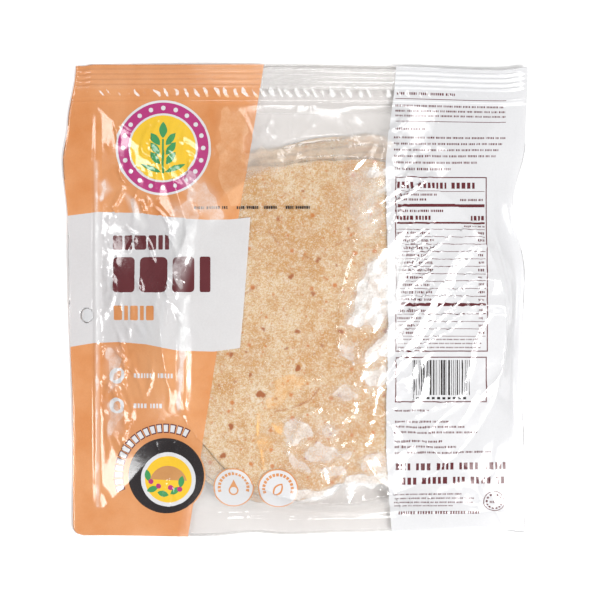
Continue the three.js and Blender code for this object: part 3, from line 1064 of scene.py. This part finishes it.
# Darkest baked spots of the uppermost bread: place, radius and depth of colour
BAKED_SPOTS = [
    (-11.2, 53.1, 1.8, 0.7), (-2.6, 15.5, 2.2, 0.8), (11.9, 4.3, 1.9, 0.7), (15.2, 26.7, 2.0, 0.6),
    (31.7, 6.3, 1.6, 0.7), (27.1, 22.8, 1.4, 0.6), (-20.5, -18.8, 1.8, 0.7), (1.7, -20.1, 2.2, 0.7),
    (30.0, -20.1, 2.0, 0.8), (17.8, -29.4, 1.7, 0.6), (-41.6, -35.3, 2.0, 0.8), (2.0, -44.2, 2.4, 0.9),
    (-5.6, -31.4, 1.7, 0.6), (-29.0, -48.5, 1.8, 0.7), (-22.4, -61.1, 3.1, 1.0), (-12.5, -64.0, 1.7, 0.7),
    (-41.6, -82.2, 2.2, 1.0), (-46.9, -101.3, 2.3, 1.0), (23.1, -86.8, 1.6, 0.7), (7.3, -102.6, 1.8, 0.7),
    (5.3, 71.3, 1.5, 0.6), (35.0, 46.9, 1.6, 0.6), (29.0, -61.7, 1.7, 0.7), (60.0, -20.0, 2.4, 0.8),
]
SPOT_SIZE = 0.9
SPECKS = {"count": 60, "x": (-95, 145), "y": (-140, 115), "radius": (0.7, 1.7), "depth": (0.2, 0.7)}
# The pale ring round a spot: radius and width in the spot's own radii, and depth
SPOT_RING = (1.9, 0.5, 0.26)
# How ragged a spot is: waves round it and their height
SPOT_WAVES = [(2, 0.20), (3, 0.16)]
ANY_TURN = 6.3
# Thin dark lines of painted shade along the uppermost bread's folds: both ends, width and depth of colour
FOLD_SHADE_LINES = [
    ((-17.0, -73.5), (-2.0, -70.0), 1.5, 0.52), ((-3.0, -70.7), (11.0, -64.5), 1.4, 0.62),
    ((10.0, -64.8), (17.5, -55.0), 1.6, 0.58), ((-36.0, 1.5), (-23.0, 11.5), 2.6, 0.50),
    ((-18.0, 46.0), (-8.0, 34.0), 2.2, 0.44), ((-1.0, 33.0), (16.0, 24.0), 2.0, 0.44),
    ((22.0, 34.0), (40.0, 42.0), 1.8, 0.42), ((24.0, -118.0), (38.0, -105.0), 1.6, 0.55),
    ((38.0, -105.0), (58.0, -97.0), 1.5, 0.52),
]
BREAD_CREASES = [
    ((-18.5, -77.0), (6.0, -71.5), 2.2, -0.7),
    ((4.0, -72.0), (20.0, -66.0), 2.4, -0.8),
    ((18.0, -66.5), (33.0, -55.5), 2.4, -0.7),
    ((26.0, -79.5), (41.5, -63.5), 2.0, -0.4),
]


def bread_outline(index, angle, rng):
    """The bread's radius at each angle, uneven as rolled by hand."""
    x, y, radius = BREAD_PLACES[index]
    uppermost = index == BREAD_COUNT - 1
    uneven = np.zeros_like(angle)
    for order in range(2, 9):
        height = rng.uniform(0.2, 1.0) / order
        uneven += height * np.sin(order * angle + rng.uniform(0, ANY_TURN)) * UNEVEN
    for order in (17, 26, 41):
        uneven += RAGGED * np.sin(order * angle + rng.uniform(0, ANY_TURN))
    out = radius + uneven
    degrees = np.degrees(np.angle(np.exp(1j * angle)))
    out += value_at(UPPER_OUTLINE if uppermost else LOWER_OUTLINE, degrees)
    if uppermost:
        off = np.angle(np.exp(1j * (angle - radians(TUCK["turn"])))) / radians(TUCK["spread"])
        out = out - TUCK["depth"] * np.exp(-off * off) * (1 + TUCK["ragged"] * np.sin(23 * angle))
    down = np.minimum(np.sin(angle), -LEAST_DOWN)
    for _ in range(CREASE_STEPS):
        reach = (value_at(LOWER_CREASE, x + out * np.cos(angle)) - y) / down
        out = np.where(np.sin(angle) < -LEAST_DOWN, np.minimum(out, reach), out)
    return out


def stack_height(x, y, level, rounding=0):
    """Height of a level of the stack, counted in breads from below."""
    room = smooth_film(x, y) - FILM_CLEARANCE - BREAD_FLOOR - lower_film(x, y)
    room = np.clip(room, SWAY["least_room"], None)
    squeeze = np.minimum(1, room / (BREAD_COUNT * BREAD_THICKNESS + SWAY["slack"]))
    sway = SWAY["height"] * rolling(x, y, np.random.default_rng(SWAY["seed"]), SWAY["length"])
    height = (level * BREAD_THICKNESS + (sway + SWAY["lift"]) * level / BREAD_COUNT) * squeeze
    return lower_film(x, y) + BREAD_FLOOR + height - rounding


def bread(index, material):
    """One bread: a thin uneven disc with a rounded edge, bubbles, baked spots and, on the uppermost, painted
    shade along its folds.
    """
    uppermost = index == BREAD_COUNT - 1
    rings, sectors = UPPER_GRID if uppermost else LOWER_GRID
    rng = np.random.default_rng(BREAD_SEED + index)
    centre_x, centre_y, _ = BREAD_PLACES[index]
    angle = np.linspace(0, 2 * np.pi, sectors, endpoint=False)
    edge = bread_outline(index, angle, rng)
    run_x, run_y = edge * np.cos(angle), edge * np.sin(angle)
    shares = np.concatenate([np.linspace(0, 1, rings + 1)[1:-1] * EDGE_RINGS[0], [EDGE_RINGS[1], 1.0]])
    shares_below = np.linspace(1.0, 0, max(6, rings // 6) + 1)[1:-1]
    x_up, y_up = centre_x + np.outer(shares, run_x), centre_y + np.outer(shares, run_y)
    x_down, y_down = centre_x + np.outer(shares_below, run_x), centre_y + np.outer(shares_below, run_y)
    reach = (-BUBBLES["reach"], BUBBLES["reach"])
    ranges = (reach, reach, BUBBLES["radius"], BUBBLES["height"])
    bubbles = [[rng.uniform(*ends) for ends in ranges] for _ in range(BUBBLES["count"])]

    rounding = np.zeros((len(shares), 1))
    rounding[-2:] = [[drop * BREAD_THICKNESS] for drop in EDGE_DROPS]
    detail = np.zeros_like(x_up)
    for bubble_x, bubble_y, radius, height in bubbles:
        off = np.hypot(x_up - bubble_x, y_up - bubble_y) / radius
        detail += height * np.exp(-off * off)
    detail += sum(height * rolling(x_up, y_up, rng, length) for height, length in RIPPLES)
    for crease in BREAD_CREASES if uppermost else []:
        detail += ridge(x_up, y_up, *crease)
    detail[-3:] *= EDGE_CALM
    up = stack_height(x_up, y_up, index + UPPER_FACE, rounding) + detail
    up = np.minimum(up, smooth_film(x_up, y_up) - UPPER_CLEARANCE)

    middle = np.array([centre_x]), np.array([centre_y])
    points = np.concatenate([
        metres(*middle, stack_height(*middle, index + UPPER_FACE)),
        metres(x_up, y_up, up).reshape(-1, 3),
        metres(x_down, y_down, stack_height(x_down, y_down, index + LOWER_FACE)).reshape(-1, 3),
        metres(*middle, stack_height(*middle, index + LOWER_FACE)),
    ])
    loops = len(shares) + len(shares_below)
    faces = []
    for i in range(sectors):
        after = (i + 1) % sectors
        faces.append((0, 1 + i, 1 + after))
        for loop in range(loops):
            a, b = 1 + loop * sectors + i, 1 + loop * sectors + after
            faces.append((a, a + sectors, b + sectors, b) if loop < loops - 1 else (a, len(points) - 1, b))
    name = "roti_%02d" % (index + 1)
    mesh = new_mesh(name, points, faces, [material])
    # The baked spots, with painted shade along the folds on the uppermost bread
    carried(mesh, "baked", baked_spots_and_fold_shade(uppermost, points / MM, rng))
    return new_piece(name, mesh)


def baked_spots_and_fold_shade(uppermost, points, rng):
    """How brown the bread is at each point, from its baked spots and from painted shade along the uppermost
    bread's folds: 0 pale, 1 darkest, with pale rings below 0.
    """
    x, y = points[:, 0], points[:, 1]
    shade = np.zeros_like(x)
    spots = list(BAKED_SPOTS) if uppermost else []
    ranges = [SPECKS[key] for key in ("x", "y", "radius", "depth")]
    spots += [[rng.uniform(*ends) for ends in ranges] for _ in range(SPECKS["count"])]
    ring, ring_width, ring_depth = SPOT_RING
    for spot_x, spot_y, radius, depth in spots:
        turn = np.arctan2(y - spot_y, x - spot_x)
        ragged = 1
        for order, height in SPOT_WAVES:
            ragged = ragged + height * np.sin(order * turn + rng.uniform(0, ANY_TURN))
        off = np.hypot(x - spot_x, y - spot_y) / (SPOT_SIZE * radius * ragged)
        near = off < 4
        shade[near] += depth * np.exp(-off[near] ** 4)
        shade[near] -= ring_depth * depth * np.exp(-((off[near] - ring) / ring_width) ** 2)
    # Painted shade along the uppermost bread's folds
    for line in FOLD_SHADE_LINES if uppermost else []:
        shade += ridge(x, y, *line)
    return shade


# ---- materials


def linear(red, green, blue):
    """A colour in linear light from one seen on a screen, 0 to 255."""
    return tuple((c / 255 / 12.92) if c < 11 else ((c / 255 + 0.055) / 1.055) ** 2.4
                 for c in (red, green, blue))


FILM_REFLECTION = 1.7
FILM_ROUGHNESS = 0.1
FILM_GRAIN = 0.00005
GRAZING_LIMIT = 0.16
FILM_HAZE = 0.02
FILM_TINT = (0.902, 0.891, 0.885)
HAZE_COLOUR = (0.82, 0.80, 0.78)
# Painted highlights on the film: the roughness of their gloss, the share of painted white in them, their
# white and the colour of their painted warm reflection
HIGHLIGHT_ROUGHNESS = 0.58
PAINTED_HIGHLIGHT_SHARE = 0.5
HIGHLIGHT_WHITE = (0.70, 0.70, 0.695)
WARM_REFLECTION_COLOUR = (0.80, 0.48, 0.19)

# Inks in the order of their numbers: name, colour, the deeper colour of its clouds, how much it covers
INKS = [
    ("ink_orange", (247, 176, 120), (233, 151, 88), 0.75),
    ("ink_white", (229, 229, 231), (225, 225, 227), 0.93),
    ("ink_maroon", (104, 44, 50), (92, 36, 42), 0.96),
    ("ink_yellow", (250, 206, 60), (246, 198, 50), 0.94),
    ("ink_green", (74, 160, 98), (66, 150, 90), 0.94),
    ("ink_rose", (190, 62, 130), (180, 54, 120), 0.94),
    ("ink_dark", (46, 42, 44), (38, 34, 36), 0.96),
    ("ink_tan", (214, 160, 104), (200, 142, 86), 0.95),
    ("ink_label", (231, 231, 233), (226, 226, 228), 0.80),
]
INK_SHADE = 0.70

TAN_DOUGH = linear(194, 148, 85)
BROWN = linear(184, 124, 54)
FLOUR = linear(222, 211, 192)
DOUGH = linear(216, 195, 160)
# The colour of the baked spots and of the painted fold shade
BAKED_AND_FOLD_SHADE = linear(158, 86, 24)
SPECK = linear(192, 114, 34)

# Patterns in the dough: scale, detail and roughness
PATTERNS = {
    "grain": (1000, 5, 0.8), "fine": (400, 5, 0.78), "patch": (100, 4, 0.62), "cloud": (30, 6, 0.68),
}
# Layers over the dough: pattern, where it starts and where it is full, its most and its colour
LAYERS = [
    ("cloud", 0.41, 0.58, 1.0, TAN_DOUGH), ("patch", 0.52, 0.64, 0.5, FLOUR),
    ("patch", 0.46, 0.34, 0.4, BROWN), ("fine", 0.51, 0.59, 0.60, BROWN),
    ("fine", 0.47, 0.39, 0.74, FLOUR), ("grain", 0.5, 0.60, 0.75, TAN_DOUGH),
    ("grain", 0.48, 0.39, 0.85, FLOUR),
]
# Cell patterns for specks: cells per metre, the largest speck as a share of a cell, depth of colour
SPECK_CELLS = [(75, 0.115, 0.9), (150, 0.12, 0.6)]
SPECK_SHIFT = 0.0012


def new_material(name, surface, *details):
    """A material whose surface is what a function makes in its node tree."""
    material = bpy.data.materials.new(name)
    material.use_nodes = True
    tree = material.node_tree
    tree.nodes.clear()
    node(tree, "OutputMaterial", {"Surface": surface(tree, *details)}, None)
    return material


def node(tree, kind, inputs, output=0, **settings):
    """The output of a new shader node. Each input is a socket, a number or a colour."""
    made = tree.nodes.new("ShaderNode" + kind)
    for name, value in settings.items():
        setattr(made, name, value)
    for name, value in inputs.items():
        if isinstance(value, bpy.types.NodeSocket):
            tree.links.new(value, made.inputs[name])
        elif made.inputs[name].type == "RGBA":
            made.inputs[name].default_value = (*value, 1)
        else:
            made.inputs[name].default_value = value
    return None if output is None else made.outputs[output]


def coordinates(tree):
    """The object's own coordinates."""
    return node(tree, "TexCoord", {}, "Object")


def attribute(tree, name):
    """A number that the mesh carries at each of its points."""
    return node(tree, "Attribute", {}, "Fac", attribute_name=name)


def noise(tree, scale, detail, roughness=0.55, place=None):
    """A noise texture on the object's own coordinates."""
    return node(tree, "TexNoise", {
        "Vector": place or coordinates(tree), "Scale": scale, "Detail": detail, "Roughness": roughness})


def ramp(tree, value, low, high, to_low=0.0, to_high=1.0):
    """A value mapped from one range to another and clamped."""
    return node(tree, "MapRange", {
        "Value": value, "From Min": low, "From Max": high, "To Min": to_low, "To Max": to_high})


def blend(tree, share, first, second):
    """Two colours mixed by a share."""
    return node(tree, "Mix", {0: share, 6: first, 7: second}, 2, data_type="RGBA")


def mixed(tree, share, first, second):
    """Two shaders mixed by a share."""
    return node(tree, "MixShader", {0: share, 1: first, 2: second})


def joined(tree, operation, first, second):
    """The result of a sum on two values."""
    return node(tree, "Math", {0: first, 1: second}, operation=operation)


def bump(tree, height, distance, strength=1.0, under=None):
    """A bump normal, over another where one is given."""
    over = {} if under is None else {"Normal": under}
    return node(tree, "Bump", {"Distance": distance, "Strength": strength, "Height": height, **over})


def clear_film(tree):
    """Clear film: see-through, with a glossy reflection and a faint haze."""
    normal = bump(tree, noise(tree, 420, 3), FILM_GRAIN)
    through = node(tree, "BsdfTransparent", {"Color": FILM_TINT})
    gloss = node(tree, "BsdfAnisotropic", {"Roughness": FILM_ROUGHNESS, "Normal": normal})
    fresnel = node(tree, "Fresnel", {"IOR": 1.5, "Normal": normal})
    share = ramp(tree, fresnel, 0, GRAZING_LIMIT, 0, FILM_REFLECTION * GRAZING_LIMIT)
    cloud = ramp(tree, noise(tree, 45, 3), 0.35, 0.75, 0.3 * FILM_HAZE, 1.7 * FILM_HAZE)
    haze = node(tree, "BsdfDiffuse", {"Color": HAZE_COLOUR})
    veil = joined(tree, "ADD", cloud, attribute(tree, "veil"))
    return painted_highlights(tree, mixed(tree, veil, mixed(tree, share, through, gloss), haze))


def painted_highlights(tree, film):
    """The film with its patches of painted highlight: a broad rough gloss from the lights, half mixed with a
    diffuse painted white highlight, a soft painted glow round each patch and a painted warm reflection on
    some.
    """
    # Inside each patch and in its soft painted glow, the film gives way to the painted highlight
    inside = ramp(tree, attribute(tree, "edge"), 0, 1)
    crisp = joined(tree, "MULTIPLY", inside, attribute(tree, "gleam"))
    crisp = joined(tree, "MULTIPLY", crisp, ramp(tree, noise(tree, 650, 4, 0.7), 0.36, 0.6, 0.7, 1.1))
    share = joined(tree, "MAXIMUM", crisp, attribute(tree, "painted_halo"))
    colour = blend(tree, attribute(tree, "warm_reflection"), HIGHLIGHT_WHITE, WARM_REFLECTION_COLOUR)
    gloss = node(tree, "BsdfAnisotropic", {"Roughness": HIGHLIGHT_ROUGHNESS, "Color": colour})
    haze = node(tree, "BsdfDiffuse", {"Color": colour})
    return mixed(tree, share, film, mixed(tree, PAINTED_HIGHLIGHT_SHARE, gloss, haze))


def ink(tree, colour, deeper, cover):
    """Printed film: an ink that covers most of what lies behind it, under the film's gloss."""
    normal = bump(tree, noise(tree, 420, 3), FILM_GRAIN)
    lighter, darker = [tuple(INK_SHADE * c for c in linear(*tone)) for tone in (colour, deeper)]
    shade = ramp(tree, noise(tree, 30, 5), 0.35, 0.7)
    body = node(tree, "BsdfPrincipled", {
        "Base Color": blend(tree, shade, lighter, darker), "Roughness": 0.13, "IOR": 1.55,
        "Coat Weight": 0.35, "Coat Roughness": 0.08, "Normal": normal})
    through = node(tree, "BsdfTransparent", {"Color": FILM_TINT})
    grain = ramp(tree, noise(tree, 900, 2), 0.3, 0.7, cover - 0.02, cover + 0.02)
    return painted_highlights(tree, mixed(tree, grain, through, body))


def specks(tree, place, colour):
    """The colour with small ragged baked specks, one in some of the cells of a cell pattern."""
    ragged = node(tree, "TexNoise", {"Scale": 900, "Vector": place}, "Color")
    shifted = node(tree, "VectorMath", {0: ragged, 1: (SPECK_SHIFT,) * 3, 2: place},
                   operation="MULTIPLY_ADD")
    for scale, largest, depth in SPECK_CELLS:
        away = node(tree, "TexVoronoi", {"Scale": scale, "Vector": shifted}, "Distance",
                    voronoi_dimensions="2D")
        chance = node(tree, "SeparateColor", {0: away.node.outputs["Color"]})
        radius = ramp(tree, chance, 0.3, 1.0, 0.0, largest)
        within = joined(tree, "SUBTRACT", radius, away)
        colour = blend(tree, ramp(tree, within, -0.35 * largest, 0.35 * largest, 0.0, depth), colour, SPECK)
    return colour


def flatbread(tree):
    """Soft flatbread: pale dough, sandy brown grain, cloudy baking, flour, baked spots and painted shade
    along the folds.
    """
    place = coordinates(tree)
    patterns = {name: noise(tree, *pattern, place) for name, pattern in PATTERNS.items()}
    fine = patterns["fine"]
    colour = DOUGH
    for name, start, full, most, layer in LAYERS:
        colour = blend(tree, ramp(tree, patterns[name], start, full, 0.0, most), colour, layer)
    colour = specks(tree, place, colour)
    # The baked attribute holds the baked spots and the painted fold shade, both drawn towards the baked
    # colour
    shade = joined(tree, "ADD", attribute(tree, "baked"), ramp(tree, fine, 0.3, 0.7, -0.12, 0.12))
    colour = blend(tree, ramp(tree, shade, 0.2, 0.72), colour, BAKED_AND_FOLD_SHADE)
    colour = blend(tree, ramp(tree, shade, -0.1, -0.32, 0, 0.6), colour, FLOUR)
    normal = bump(tree, patterns["grain"], 0.0002, 0.6, bump(tree, fine, 0.0005, 0.5))
    return node(tree, "BsdfPrincipled", {
        "Base Color": colour, "Roughness": ramp(tree, fine, 0.3, 0.7, 0.62, 0.82), "Normal": normal,
        "Subsurface Weight": 0.12, "Subsurface Radius": (0.002, 0.0012, 0.0006), "Subsurface Scale": 1.0})


def zip_plastic(tree):
    """Milky plastic of the zip."""
    streak = ramp(tree, noise(tree, 180, 3), 0.3, 0.7)
    colour = blend(tree, streak, (0.82, 0.82, 0.81), (0.92, 0.92, 0.91))
    body = node(tree, "BsdfPrincipled", {"Base Color": colour, "Roughness": 0.25})
    share = ramp(tree, noise(tree, 90, 2), 0.3, 0.7, 0.16, 0.26)
    return mixed(tree, share, node(tree, "BsdfTransparent", {}), body)


def plain_floor(tree):
    """The studio's plain white floor."""
    return node(tree, "BsdfDiffuse", {"Color": (0.93, 0.93, 0.93)})


# ---- studio

FLOOR_HALF = 3.0
FLOOR_DROP = 0.0004
CAMERA_HEIGHT = 1.5
VIEW_WIDTH = 0.396
VIEW_CENTRE = (0.0033, 0.0003)
SENSOR = 36.0
WORLD_LIGHT = 0.27

# Softboxes: place in metres, both sides and watts
SOFTBOXES = {
    "softbox_right": ((0.44, -0.25, 1.02), (0.28, 0.28), 8.5),
    "softbox_wide": ((0.66, -0.34, 0.95), (0.52, 0.52), 4.5),
    "softbox_left": ((-0.60, 0.30, 1.00), (0.26, 0.32), 2.8),
    "softbox_low_left": ((-0.56, -0.24, 1.00), (0.26, 0.30), 3.4),
    "softbox_top": ((0.15, 0.80, 0.90), (0.60, 0.22), 3.4),
    "softbox_bottom": ((0.15, -0.72, 0.90), (0.45, 0.20), 2.4),
}


def placed(name, data, place):
    """A new object in the scene."""
    made = bpy.data.objects.new(name, data)
    made.location = place
    bpy.context.scene.collection.objects.link(made)
    return made


def floor():
    """A wide plain floor just under the bag."""
    mesh = bpy.data.meshes.new("studio_floor")
    corners = [(-1, -1), (1, -1), (1, 1), (-1, 1)]
    mesh.from_pydata([(FLOOR_HALF * x, FLOOR_HALF * y, -FLOOR_DROP) for x, y in corners], [], [(0, 1, 2, 3)])
    mesh.materials.append(new_material("studio_floor", plain_floor))
    piece = placed("studio_floor", mesh, (0, 0, 0))


def softboxes():
    """Area lights that all face the bag."""
    for name, (place, size, watts) in SOFTBOXES.items():
        light = bpy.data.lights.new(name, "AREA")
        light.shape = "RECTANGLE"
        light.size, light.size_y = size
        light.energy = watts
        lamp = placed(name, light, place)
        lamp.rotation_euler = (-Vector(place)).to_track_quat("-Z", "Y").to_euler()


def world():
    """Even white light from all round."""
    sky = bpy.data.worlds.new("studio")
    sky.use_nodes = True
    background = sky.node_tree.nodes["Background"]
    background.inputs["Color"].default_value = (1, 1, 1, 1)
    background.inputs["Strength"].default_value = WORLD_LIGHT
    bpy.context.scene.world = sky


def camera():
    """The camera straight above the bag."""
    lens = bpy.data.cameras.new("camera")
    lens.sensor_width = SENSOR
    lens.lens = SENSOR * CAMERA_HEIGHT / VIEW_WIDTH
    bpy.context.scene.camera = placed("camera", lens, (*VIEW_CENTRE, CAMERA_HEIGHT))


# ---- the scene

bpy.context.scene.view_settings.view_transform = "Standard"
bpy.context.scene.cycles.transparent_max_bounces = 32

camera()
floor()
softboxes()
world()

inks = [new_material("film_clear", clear_film)]
inks += [new_material(name, ink, *details) for name, *details in INKS]
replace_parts(bag_film(inks), NODE)
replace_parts(hole_scrap(inks[LABEL]), NODE)

roti = new_material("roti", flatbread)
for index in range(BREAD_COUNT):
    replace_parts(bread(index, roti), NODE)

milky = new_material("zip_plastic", zip_plastic)
for name, strip in ZIP_STRIPS.items():
    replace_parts(zip_strip(name, *strip, milky), NODE)
